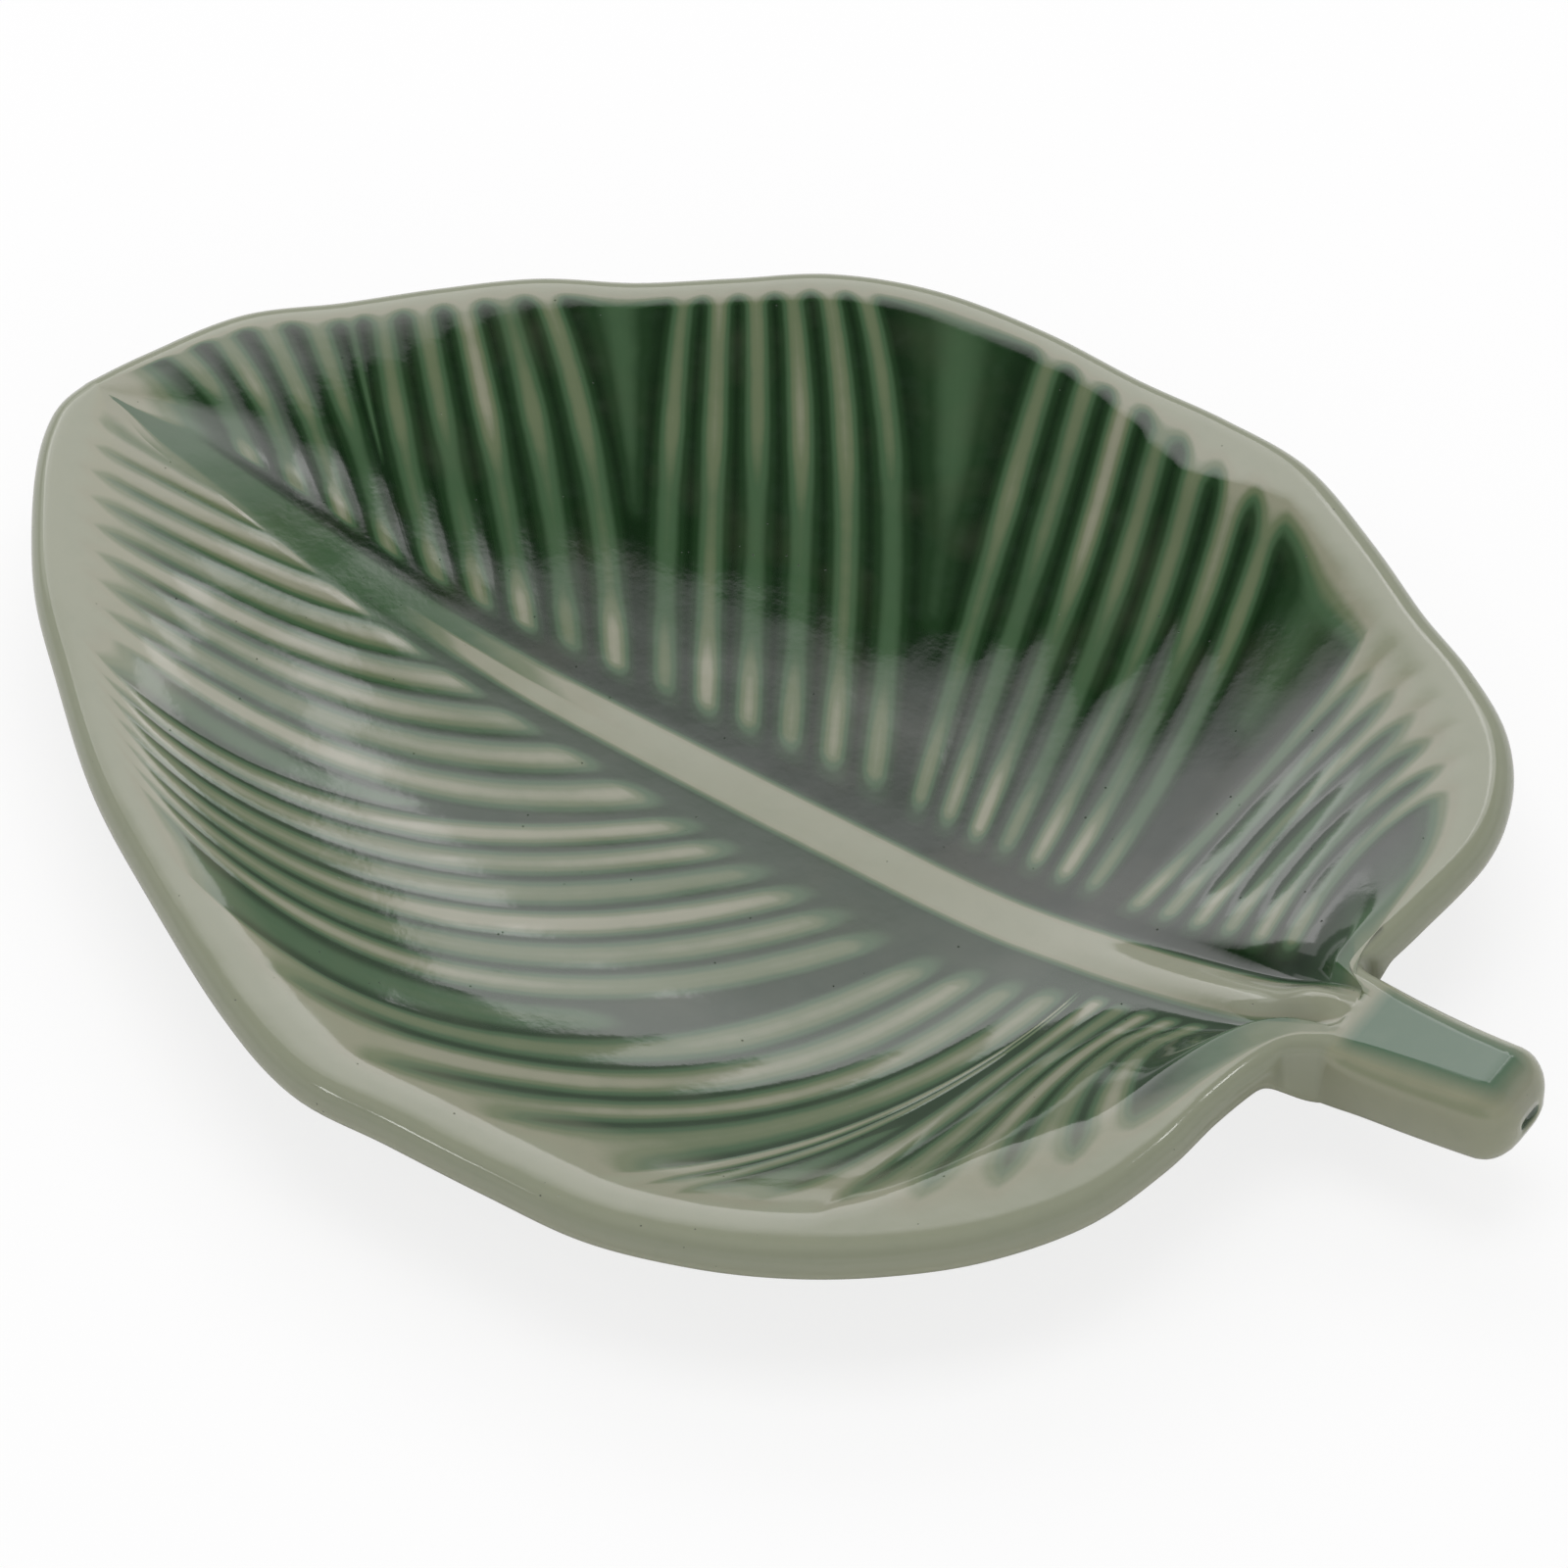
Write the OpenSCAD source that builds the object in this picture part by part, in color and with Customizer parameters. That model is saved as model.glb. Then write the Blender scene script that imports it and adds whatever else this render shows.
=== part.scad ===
// Leaf dish in glazed stoneware: a wavy leaf-shaped bowl with a raised midrib and curved
// side veins, a bar-shaped stalk for a handle, and an unglazed foot ring.
// Millimetres. +X runs along the midrib to the end of the stalk, +Z is up. The origin is
// at the middle of the dish's outer sizes, on the surface that the foot stands on.

/* [Blade] */
// Length of the blade, from the leaf's tip to the landing that the stalk is luted to
blade_length = 159; // [135:1:185]
// Half of the blade's width, from the midrib to the crest of the rim
half_width = 65.5; // [55:0.5:76]
// Depth of the dish, from the crest of the rim to its lowest groove
dish_depth = 10.8; // [9:0.2:13]
// Thickness of the wall and of the full-round rim
wall = 4.4; // [3.8:0.1:5.2]
// Height that the leaf's tip lifts above the rest of the rim
tip_lift = 1.5; // [0:0.1:4]
// Sideways sweep of the midrib at the leaf's tip
tip_sweep = 5.5; // [0:0.5:9]

/* [Veins] */
// Height of a side vein above the grooves beside it
vein_relief = 0.7; // [0.4:0.05:1.4]
// Half of the midrib's width where it is widest
midrib_half = 4; // [3:0.1:5]
// Height of the midrib above its grooves, before it climbs to the stalk
midrib_height = 1.3; // [0.8:0.1:2]

/* [Stalk] */
// Length of the stalk beyond the blade's landing
stalk_length = 20.8; // [12:0.2:34]
// Width of the stalk where it meets the blade
stalk_width = 12.6; // [11:0.1:14]
// Height of the stalk where it meets the blade
stalk_height = 9.2; // [8:0.1:10.5]
// Height that the end of the stalk rises
stalk_rise = 1; // [0:0.1:3]
// Radius of the stalk's long edges near its end
stalk_corner = 3.6; // [2.4:0.1:3.8]
// Radius that rounds off the stalk's end
stalk_end_round = 4; // [2:0.1:4.5]
// Radius of the dimple in the stalk's end face
dimple_radius = 2.2; // [1.2:0.1:2.6]
// Depth of that dimple
dimple_depth = 0.7; // [0.3:0.1:1.2]

/* [Foot] */
// Outer length of the foot ring, along the midrib
foot_length = 76; // [64:1:84]
// Outer width of the foot ring
foot_width = 52; // [44:1:60]
// Width of the foot ring's band
foot_band = 5; // [4:0.1:7]
// Height of the foot ring below the flat seat under the blade
foot_height = 2.4; // [1.5:0.1:4]

/* [Hidden] */

// Thickness of clay left between the lowest groove and the flat seat
floor_wall = 3.8;
// Width of the flat seat outside the foot ring
seat_lip = 1.2;
// Distance over which the underside leaves the flat seat and takes the bowl's curve
seat_blend = 16;
// Radius that softens the foot ring's lower edges
foot_edge = 0.9;
// Distance between the leaf's tip and the first point of the midrib
tip_inset = 3;
// Half of the midrib's width at the landing
landing_half = 1.4;
// Distance of the stalk's middle from the midrib, towards +Y
stalk_shift = -0.3;
rim_radius = wall / 2;

// The crest of the rim, on the side of +Y, from the leaf's tip round to the neck:
// shares of the blade's length and of its half width
far_outline_shares = [
    [0.025, 0.188], [0.055, 0.346], [0.102, 0.461], [0.147, 0.577], [0.196, 0.686],
    [0.253, 0.765], [0.306, 0.861], [0.359, 0.956], [0.425, 1.011], [0.503, 1.022],
    [0.581, 1.006], [0.648, 1.002], [0.715, 0.979], [0.785, 0.888], [0.847, 0.791],
    [0.900, 0.720], [0.944, 0.638], [0.972, 0.535], [0.985, 0.412], [0.981, 0.243],
    [0.977, 0.138], [0.979, 0.072]];
// The same crest on the side of -Y
near_outline_shares = [
    [0.009, 0.008], [0.033, -0.118], [0.086, -0.300], [0.145, -0.443], [0.220, -0.607],
    [0.300, -0.740], [0.400, -0.889], [0.472, -0.964], [0.542, -0.971], [0.618, -0.977],
    [0.689, -0.976], [0.753, -0.937], [0.807, -0.879], [0.856, -0.799], [0.901, -0.694],
    [0.937, -0.554], [0.953, -0.402], [0.958, -0.274], [0.966, -0.170], [0.978, -0.105]];

// Lobes of side veins on each side, from the tip to the stalk. Each row has: how many
// veins or panels stand side by side, the sections that shape each one, where the lobe
// ends on the midrib and on the rim, its height as a share of the vein relief, where
// along the vein that height begins, and how the lobe's last line bows: how far along
// its straight run, and how far aside. Rows of one are the smooth clefts.
far_lobe_shares = [
    [1, 4, 0.100, 0.032, 0.4, 0.30, 0.60, -0.15], [4, 4, 0.257, 0.126, 1.0, 0.05, 0.40, 0.01],
    [1, 4, 0.261, 0.138, 0.5, 0.45, 0.46, 0.05], [5, 4, 0.435, 0.234, 1.0, 0.05, 0.60, -0.09],
    [1, 4, 0.440, 0.286, 0.5, 0.40, 0.61, 0.04], [6, 4, 0.630, 0.385, 1.0, 0.05, 0.68, -0.10],
    [1, 4, 0.635, 0.470, 0.5, 0.30, 0.70, 0.03], [7, 4, 0.783, 0.626, 1.0, 0.05, 0.55, -0.08],
    [1, 4, 0.788, 0.718, 0.5, 0.45, 0.70, 0.16], [6, 4, 0.940, 0.845, 1.0, 0.05, 0.68, 0.22],
    [1, 14, 1.000, 1.000, 0.4, 0.20, 0.50, 0]];
near_lobe_shares = [
    [1, 6, 0.117, 0.017, 0.4, 0.30, 0.30, -0.03], [8, 4, 0.520, 0.146, 1.0, 0.05, 0.45, -0.30],
    [1, 7, 0.524, 0.156, 0.5, 0.35, 0.62, -0.36], [6, 4, 0.709, 0.226, 1.0, 0.05, 0.57, -0.54],
    [1, 7, 0.714, 0.292, 0.5, 0.30, 0.60, -0.54], [4, 4, 0.816, 0.600, 1.0, 0.05, 0.40, -0.14],
    [2, 4, 0.821, 0.636, 1.0, 0.20, 0.45, -0.10],
    [1, 7, 0.826, 0.677, 0.5, 0.55, 0.30, -0.02], [5, 4, 0.918, 0.882, 1.0, 0.05, 0.40, 0.30],
    [1, 19, 1.000, 1.000, 0.4, 0.20, 0.50, 0]];
// Where on a vein the grooves run out into the smooth band inside the rim
far_band_share = 0.84;
near_band_share = 0.78;
band_run_share = 0.13;
// Length of a vein's rounded root, and of a cleft's fading end
root_run_share = 0.09;
cleft_run_share = 0.35;

// Depth of the dish along the midrib, and how it rises from there to the rim
depth_shares = [
    [0, 0], [0.08, 0.03], [0.15, 0.14], [0.23, 0.36], [0.31, 0.55], [0.42, 0.73],
    [0.60, 0.92], [0.72, 1], [0.80, 0.89], [0.87, 0.72], [0.93, 0.50], [0.97, 0.22], [1, 0]];
wall_shares = [
    [0, 0], [0.25, 0.03], [0.45, 0.13], [0.65, 0.36], [0.8, 0.64], [0.92, 0.9], [1, 1]];
// Midrib along the blade: half width, and height above its grooves
midrib_half_shares = [[0, 0.15], [0.15, 0.5], [0.4, 0.85], [0.7, 1], [0.96, 1], [1, 0]];
midrib_height_shares = [
    [0, 0], [0.1, 0.5], [0.35, 0.8], [0.7, 1], [0.9, 1.3], [0.965, 1.9], [1, 0]];
// Where the tip's sweep and lift end, and where the veins flatten towards the tip and
// the landing
sweep_end_share = 0.40;
lift_end_share = 0.28;
tip_run_share = 0.08;
flat_run_share = 0.06;
// Where the rim begins to deepen into the stalk's side, as a share of the rim's length
neck_share = 0.955;
// Middle of the foot ring on the blade's length
foot_share = 0.575;

// Sections along a vein, across the rim's round edge, and back under the blade
vein_step_shares = [0, 0.07, 0.15, 0.29, 0.43, 0.57, 0.70, 0.82, 0.92, 1];
under_step_shares = [0.82, 0.58, 0.3];
edge_angles = [30, 75, 105, 150, 180];
span_steps = 4;
seek_steps = 9;

// Along the stalk: place, width and height of its sections, and how far their corners
// have grown from the rim's radius to the stalk's own
stalk_shares = [
    [0, 1, 1, 0], [0.12, 1.01, 1, 0.35], [0.3, 1.01, 1, 0.75], [0.65, 0.97, 1.03, 1],
    [1, 0.92, 1.05, 1]];
stalk_edge_angles = [0, 15, 30, 52, 75, 105, 128, 150, 165, 180];
stalk_end_angles = [0, 20, 38, 56, 75];

function mix(a, b, t) = a + (b - a) * t;
function clamp01(t) = max(0, min(1, t));
function ease(t) = let (c = clamp01(t)) c * c * (3 - 2 * c);

// One point of a smooth curve through the points p, in span i at fraction f
function catmull(p, i, f) =
    let (n = len(p) - 1, a = p[max(i - 1, 0)], b = p[i], c = p[min(i + 1, n)], d = p[min(i + 2, n)])
    (2 * b + (c - a) * f + (2 * a - 5 * b + 4 * c - d) * f * f + (3 * b - a - 3 * c + d) * f * f * f) / 2;
function smooth_curve(p) =
    [for (i = [0:len(p) - 2], k = [0:span_steps - 1]) catmull(p, i, k / span_steps), p[len(p) - 1]];

// Tables that give a curve's X and Y at a share of its length
function run_lengths(p) =
    [for (i = 0, s = 0; i < len(p); i = i + 1, s = s + (i < len(p) ? norm(p[i] - p[i - 1]) : 0)) s];
function curve_tables(p) =
    let (runs = run_lengths(p), total = runs[len(p) - 1])
    [for (axis = [0, 1]) [for (i = [0:len(p) - 1]) [runs[i] / total, p[i][axis]]]];
function curve_at(tables, s) = [lookup(s, tables[0]), lookup(s, tables[1])];

// The two sides, far (+Y) and near (-Y), as tables of the rim's crest
tip_point = [rim_radius * 0.7, tip_sweep];
landing_crest = stalk_width / 2 - rim_radius;
function outline_points(shares, side) = concat(
    [tip_point],
    [for (s = shares) [s.x * blade_length, s.y * half_width]],
    [[blade_length, stalk_shift + side * landing_crest]]);
crest_tables = [
    curve_tables(smooth_curve(outline_points(far_outline_shares, 1))),
    curve_tables(smooth_curve(outline_points(near_outline_shares, -1)))];
lobes = [far_lobe_shares, near_lobe_shares];
bands = [far_band_share, near_band_share];
signs = [1, -1];

// Smooth tables of the dish's shape
depth_table = smooth_curve(depth_shares);
wall_table = smooth_curve(wall_shares);
midrib_half_table = smooth_curve(midrib_half_shares);
midrib_height_table = smooth_curve(midrib_height_shares);

function midrib_y(x) = tip_sweep * pow(max(0, 1 - x / (sweep_end_share * blade_length)), 1.6);
function crest_z(x) = tip_lift * pow(max(0, 1 - x / (lift_end_share * blade_length)), 2);
function root_x(r) = mix(tip_inset, blade_length, r);
function flatness(r) = ease((1 - r) / flat_run_share) * ease(r / tip_run_share);
function midrib_reach(r) = landing_half
    + (midrib_half - landing_half) * lookup(r, midrib_half_table) * ease(r / flat_run_share + 0.3);
function midrib_top(r) = midrib_height * lookup(r, midrib_height_table);
function floor_z(x) = crest_z(x)
    - (dish_depth - vein_relief) * lookup(clamp01((x - tip_inset) / (blade_length - tip_inset)), depth_table);

// A station is a vein line: its root and rim shares, its place across the vein, its row
// and its bow
function lobe_ends(rows, i) = i < 0 ? [0, 0, rows[0][6], rows[0][7]]
    : [rows[i][2], rows[i][3], rows[i][6], rows[i][7]];
function lobe_stations(rows, i) =
    let (row = rows[i], count = row[0] * row[1], first = lobe_ends(rows, i - 1), last = lobe_ends(rows, i))
    [for (k = [0:count - 1])
        let (line = mix(first, last, k / count))
        [line[0], line[1], (k % row[1]) / row[1], i, line[2], line[3]]];
function side_stations(rows) =
    let (n = len(rows) - 1, end = lobe_ends(rows, n))
    concat([for (i = [0:n]) each lobe_stations(rows, i)], [[end[0], end[1], 0, n, end[2], end[3]]]);
stations = [side_stations(far_lobe_shares), side_stations(near_lobe_shares)];
last_station = len(stations[0]) - 1;

// Plan of a vein line: from the midrib's edge out to the crest of the rim
function vein_root(side, j) = let (r = stations[side][j][0], x = root_x(r))
    [x, midrib_y(x) + signs[side] * midrib_reach(r)];
function vein_tip(side, j) = curve_at(crest_tables[side], stations[side][j][1]);
function vein_plan(side, j, u) =
    let (a = vein_root(side, j), c = vein_tip(side, j), st = stations[side][j], run = c - a,
         b = a + run * st[4] + signs[side] * [-run.y, run.x] * st[5])
    (1 - u) * (1 - u) * a + 2 * u * (1 - u) * b + u * u * c;

// Share of the vein relief that is cut away at u along a station's line
function groove(side, j, u) =
    let (st = stations[side][j], row = lobes[side][st[3]], cleft = row[0] == 1,
         across = pow(sin(180 * st[2]), cleft ? 1 : 0.45),
         rise = ease((u - row[5]) / (cleft ? cleft_run_share : root_run_share)),
         band = ease((u - bands[side]) / band_run_share))
    (1 - band) * (1 - row[4] * across * rise);
function bowl_z(side, j, u) =
    mix(floor_z(vein_plan(side, j, u).x), crest_z(vein_tip(side, j).x), lookup(u, wall_table));
function top_z(side, j, u) =
    bowl_z(side, j, u) - vein_relief * flatness(stations[side][j][0]) * groove(side, j, u);

// Outward direction of the rim in plan
function rim_out(side, j) =
    let (s = stations[side][j][1], step = 0.004,
         t = curve_at(crest_tables[side], min(1, s + step))
             - curve_at(crest_tables[side], max(0, s - step)),
         free = signs[side] * [-t.y, t.x] / norm(t),
         out = mix(free, [0, signs[side]], neck_ease(s)))
    out / norm(out);
function neck_ease(s) = ease((s - neck_share) / (1 - neck_share));
function edge_height(side, j) =
    mix(wall, stalk_height, neck_ease(stations[side][j][1]));

// The flat seat under the blade, and distance from the foot ring's outline to a point
seat_z = -dish_depth - floor_wall;
foot_x = foot_share * blade_length;
foot_straight = (foot_length - foot_width) / 2;
function from_foot(p) =
    norm([max(0, abs(p.x - foot_x) - foot_straight), p.y]) - foot_width / 2;
function seat_edge(side, j, lo = 0, hi = 1, n = seek_steps) =
    n == 0 ? max(lo, root_run_share / 2)
    : let (m = (lo + hi) / 2) from_foot(vein_plan(side, j, m)) < seat_lip
        ? seat_edge(side, j, m, hi, n - 1) : seat_edge(side, j, lo, m, n - 1);
function under_z(side, j, u, p) =
    let (free = max(seat_z, bowl_z(side, j, u) - edge_height(side, j)))
    mix(seat_z, free, ease((from_foot(p) - seat_lip) / seat_blend));

// Points of one closed section of the blade
function top_points(side, j) = [for (u = vein_step_shares)
    let (p = vein_plan(side, j, u)) [p.x, p.y, top_z(side, j, u)]];
function edge_points(side, j) =
    let (c = vein_tip(side, j), out = rim_out(side, j), z = crest_z(c.x), h = edge_height(side, j))
    [for (a = edge_angles)
        [c.x + out.x * rim_radius * sin(a), c.y + out.y * rim_radius * sin(a),
         z - (a < 90 ? rim_radius : h - rim_radius) + rim_radius * cos(a)]];
function under_points(side, j) =
    let (e = seat_edge(side, j))
    [for (s = concat(under_step_shares, [0]))
        let (u = mix(e, 1, s), p = vein_plan(side, j, u)) [p.x, p.y, under_z(side, j, u, p)]];
function shoulder(side, j, share) =
    let (r = stations[side][j][0], a = vein_root(side, j), y = midrib_y(a.x),
         low = top_z(side, j, 0))
    [a.x, mix(y, a.y, share), low + midrib_top(r) * (1 - share * share * share)];
function mean(a, b) = (a + b) / 2;
function backwards(v) = [for (i = [len(v) - 1:-1:0]) v[i]];
function side_points(side, j) = concat(
    [shoulder(side, j, 0.6)], top_points(side, j), edge_points(side, j), under_points(side, j));
function blade_ring(j) =
    let (a = vein_root(0, j), b = vein_root(1, j), mid = [mean(a.x, b.x), midrib_y(mean(a.x, b.x))],
         r = mean(stations[0][j][0], stations[1][j][0]), far = side_points(0, j), near = side_points(1, j),
         ridge = mean(shoulder(0, j, 0).z, shoulder(1, j, 0).z),
         under = mean(under_z(0, j, 0, mid), under_z(1, j, 0, mid)))
    concat([[mid.x, mid.y, ridge]], far, [[mid.x, mid.y, under]], backwards(near));

rings = [for (j = [0:last_station]) blade_ring(j)];
ring_size = len(rings[0]);
// The first section folds flat at the leaf's tip, so its two halves share their points
function ring_index(j, k) =
    j == 0 ? min(k % ring_size, (ring_size - k) % ring_size) : j * ring_size + k % ring_size;
function sound(f) = f[0] != f[1] && f[1] != f[2] && f[2] != f[0];
function skin_faces(first, last) = [
    for (j = [first:last - 1], k = [0:ring_size - 1])
        for (f = [
            [ring_index(j, k), ring_index(j, k + 1), ring_index(j + 1, k)],
            [ring_index(j, k + 1), ring_index(j + 1, k + 1), ring_index(j + 1, k)]])
            if (sound(f)) f];
function fan_faces(first, count, hub, turn) = [
    for (k = [0:count - 1])
        turn ? [hub, first + (k + 1) % count, first + k] : [hub, first + k, first + (k + 1) % count]];

// One section of the stalk, drawn in towards its middle where the end is rounded
function stalk_ring(x, share, z, inset) =
    let (w = share[1], h = share[2], r = mix(rim_radius, stalk_corner, share[3]),
         half = stalk_width / 2 * w - r, tall = stalk_height * h,
         edge = [for (a = stalk_edge_angles)
             [half + r * sin(a), (a < 90 ? -r : r - tall) + r * cos(a)]],
         pinch_y = 1 - inset / (stalk_width / 2 * w), pinch_z = 1 - inset / (tall / 2),
         far = [for (p = edge) [x, p.x * pinch_y, z - tall / 2 + (p.y + tall / 2) * pinch_z]],
         sides = concat(
             [[x, 0, far[0].z]], far, [[x, 0, far[len(far) - 1].z]],
             backwards([for (p = far) [p.x, -p.y, p.z]])))
    [for (p = sides) p + [0, stalk_shift, 0]];
stalk_body = stalk_length - stalk_end_round;
stalk_end = stalk_shares[len(stalk_shares) - 1];
stalk_rings = concat(
    [for (s = stalk_shares) stalk_ring(
        blade_length + s[0] * stalk_body, s, stalk_rise * s[0] * s[0], 0)],
    [for (a = stalk_end_angles) if (a > 0) stalk_ring(
        blade_length + stalk_body + stalk_end_round * sin(a), stalk_end, stalk_rise,
        stalk_end_round * (1 - cos(a)))]);
stalk_end_x = stalk_rings[len(stalk_rings) - 1][0].x;

// Outer sizes, from which the origin is set
rim_points = [for (ring = rings, k = [0:ring_size - 1]) ring[k]];
x_low = min([for (p = rim_points) p.x]);
y_low = min([for (p = rim_points) p.y]);
y_high = max([for (p = rim_points) p.y]);
centre = [(x_low + stalk_end_x) / 2, (y_low + y_high) / 2];
foot_z = seat_z - foot_height;

module in_place() {
    translate([-centre.x, -centre.y, -foot_z]) children();
}

module leaf_blade() {
    end_ring = rings[last_station];
    hub = [blade_length, stalk_shift, -stalk_height / 2];
    points = concat([for (ring = rings) each ring], [hub]);
    faces = concat(
        skin_faces(0, last_station),
        fan_faces(last_station * ring_size, ring_size, len(points) - 1, false));
    color("darkseagreen") in_place() polyhedron(points, faces);
}

module stalk() {
    size = len(stalk_rings[0]);
    last = len(stalk_rings) - 1;
    hubs = [
        [blade_length, stalk_shift, -stalk_height / 2],
        [stalk_end_x, stalk_shift, stalk_rise - stalk_height * stalk_end[2] / 2]];
    points = concat([for (ring = stalk_rings) each ring], hubs);
    count = size * (last + 1);
    faces = concat(
        [for (j = [0:last - 1], k = [0:size - 1]) each [
            [j * size + k, j * size + (k + 1) % size, (j + 1) * size + k],
            [j * size + (k + 1) % size, (j + 1) * size + (k + 1) % size, (j + 1) * size + k]]],
        fan_faces(0, size, count, true),
        fan_faces(last * size, size, count + 1, false));
    dimple_ball = (dimple_radius * dimple_radius + dimple_depth * dimple_depth) / (2 * dimple_depth);
    color("darkseagreen") in_place() difference() {
        polyhedron(points, faces);
        translate([stalk_end_x - dimple_depth + dimple_ball, hubs[1].y, hubs[1].z])
            sphere(r = dimple_ball, $fn = 48);
    }
}

// Cross-section of the foot ring, outwards from the inside of its band
module foot_section() {
    polygon([
        [0, 0], [foot_band, 0], [foot_band, foot_edge - foot_height],
        [foot_band - foot_edge, -foot_height], [foot_edge, -foot_height], [0, foot_edge - foot_height]]);
}

module foot_ring() {
    inner = foot_width / 2 - foot_band;
    color("antiquewhite") in_place() translate([foot_x, 0, seat_z]) union() {
        for (side = [0, 1]) rotate([0, 0, 180 * side]) {
            translate([foot_straight, 0, 0]) rotate([0, 0, -90])
                rotate_extrude(angle = 180, $fn = 96) translate([inner, 0]) foot_section();
            translate([-foot_straight, inner, 0]) rotate([90, 0, 90])
                linear_extrude(2 * foot_straight) foot_section();
        }
    }
}

leaf_blade();
stalk();
foot_ring();
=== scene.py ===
"""Looks of the leaf dish: one glazed skin over the blade and its stalk, and a bare clay foot.

Metres throughout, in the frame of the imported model: +X runs along the midrib to the end
of the stalk, +Z is up, and the foot stands on z = 0.
"""

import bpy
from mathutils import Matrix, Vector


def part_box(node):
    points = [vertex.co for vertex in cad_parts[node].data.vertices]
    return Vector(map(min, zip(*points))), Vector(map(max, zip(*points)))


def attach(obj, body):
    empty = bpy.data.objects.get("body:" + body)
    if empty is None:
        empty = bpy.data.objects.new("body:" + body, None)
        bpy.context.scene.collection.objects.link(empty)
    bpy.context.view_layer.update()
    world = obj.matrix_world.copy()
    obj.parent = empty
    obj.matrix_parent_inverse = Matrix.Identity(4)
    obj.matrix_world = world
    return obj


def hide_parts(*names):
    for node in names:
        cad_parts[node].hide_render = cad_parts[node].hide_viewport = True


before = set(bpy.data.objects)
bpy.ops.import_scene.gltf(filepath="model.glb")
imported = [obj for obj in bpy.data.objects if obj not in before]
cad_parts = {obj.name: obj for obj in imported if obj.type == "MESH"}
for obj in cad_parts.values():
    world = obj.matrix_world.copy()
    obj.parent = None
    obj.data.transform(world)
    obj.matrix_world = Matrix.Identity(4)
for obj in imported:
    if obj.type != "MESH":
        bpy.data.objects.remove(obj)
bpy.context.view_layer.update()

import logging
import math
from dataclasses import dataclass, field
from enum import Enum
from typing import Optional, Sequence, Union

import bmesh
import bpy
import numpy as np
from mathutils import Matrix, Vector

MM = 0.001
LOG = logging.getLogger("leaf_dish")
Colour = tuple[float, float, float]
Table = Sequence[Sequence[float]]
Span = tuple[float, float]


class Side(Enum):
    """The two halves of the leaf, with the sign of Y that each lies on."""

    FAR = 1
    NEAR = -1


def screen_colour(red: int, green: int, blue: int) -> Colour:
    """Turn a screen's red, green and blue, from 0 to 255, into linear light."""
    parts = [value / 255 for value in (red, green, blue)]
    return tuple(p / 12.92 if p <= 0.04045 else ((p + 0.055) / 1.055) ** 2.4 for p in parts)


class Sock:
    """A node socket, or a plain number, that takes part in Python sums."""

    def __init__(self, tree: bpy.types.NodeTree, value: Union[bpy.types.NodeSocket, float]) -> None:
        """Keep the tree that new Math nodes go into, and the output socket or number."""
        self.tree = tree
        self.value = value

    def _math(self, operation: str, *others: Union["Sock", float], clamp: bool = False) -> "Sock":
        """Add one Math node that starts from this value.

        Args:
            operation: Operation of the Math node.
            others: Further operands.
            clamp: Whether the result stays between 0 and 1.

        Returns:
            The result.
        """
        node = self.tree.nodes.new("ShaderNodeMath")
        node.operation = operation
        node.use_clamp = clamp
        for index, item in enumerate((self, *others)):
            plug(self.tree, node.inputs[index], item)
        return Sock(self.tree, node.outputs[0])

    def __add__(self, other: Union["Sock", float]) -> "Sock":
        """Sum."""
        return self._math("ADD", other)

    def __sub__(self, other: Union["Sock", float]) -> "Sock":
        """Difference."""
        return self._math("SUBTRACT", other)

    def __rsub__(self, other: float) -> "Sock":
        """Difference from a number."""
        return Sock(self.tree, other)._math("SUBTRACT", self)

    def __mul__(self, other: Union["Sock", float]) -> "Sock":
        """Product."""
        return self._math("MULTIPLY", other)

    __radd__ = __add__
    __rmul__ = __mul__

    def clamp(self) -> "Sock":
        """Keep the value between 0 and 1."""
        return self._math("ADD", 0.0, clamp=True)

    def over(self, low: float, high: float) -> "Sock":
        """Rise smoothly from 0 at low to 1 at high.

        Args:
            low: Value that gives 0.
            high: Value that gives 1.

        Returns:
            The smooth share.
        """
        node = self.tree.nodes.new("ShaderNodeMapRange")
        node.interpolation_type = "SMOOTHSTEP"
        plug(self.tree, node.inputs["Value"], self)
        node.inputs["From Min"].default_value = low
        node.inputs["From Max"].default_value = high
        return Sock(self.tree, node.outputs["Result"])


def plug(tree: bpy.types.NodeTree, target: bpy.types.NodeSocket, item: object) -> None:
    """Link or set an input socket.

    Args:
        tree: Tree that the socket is in.
        target: Input socket.
        item: A Sock, an output socket, a number or a colour.
    """
    if isinstance(item, Sock):
        item = item.value
    if isinstance(item, bpy.types.NodeSocket):
        tree.links.new(item, target)
    elif isinstance(item, tuple) and len(item) == 3 and len(target.default_value) == 4:
        target.default_value = (*item, 1.0)
    else:
        target.default_value = item


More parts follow.
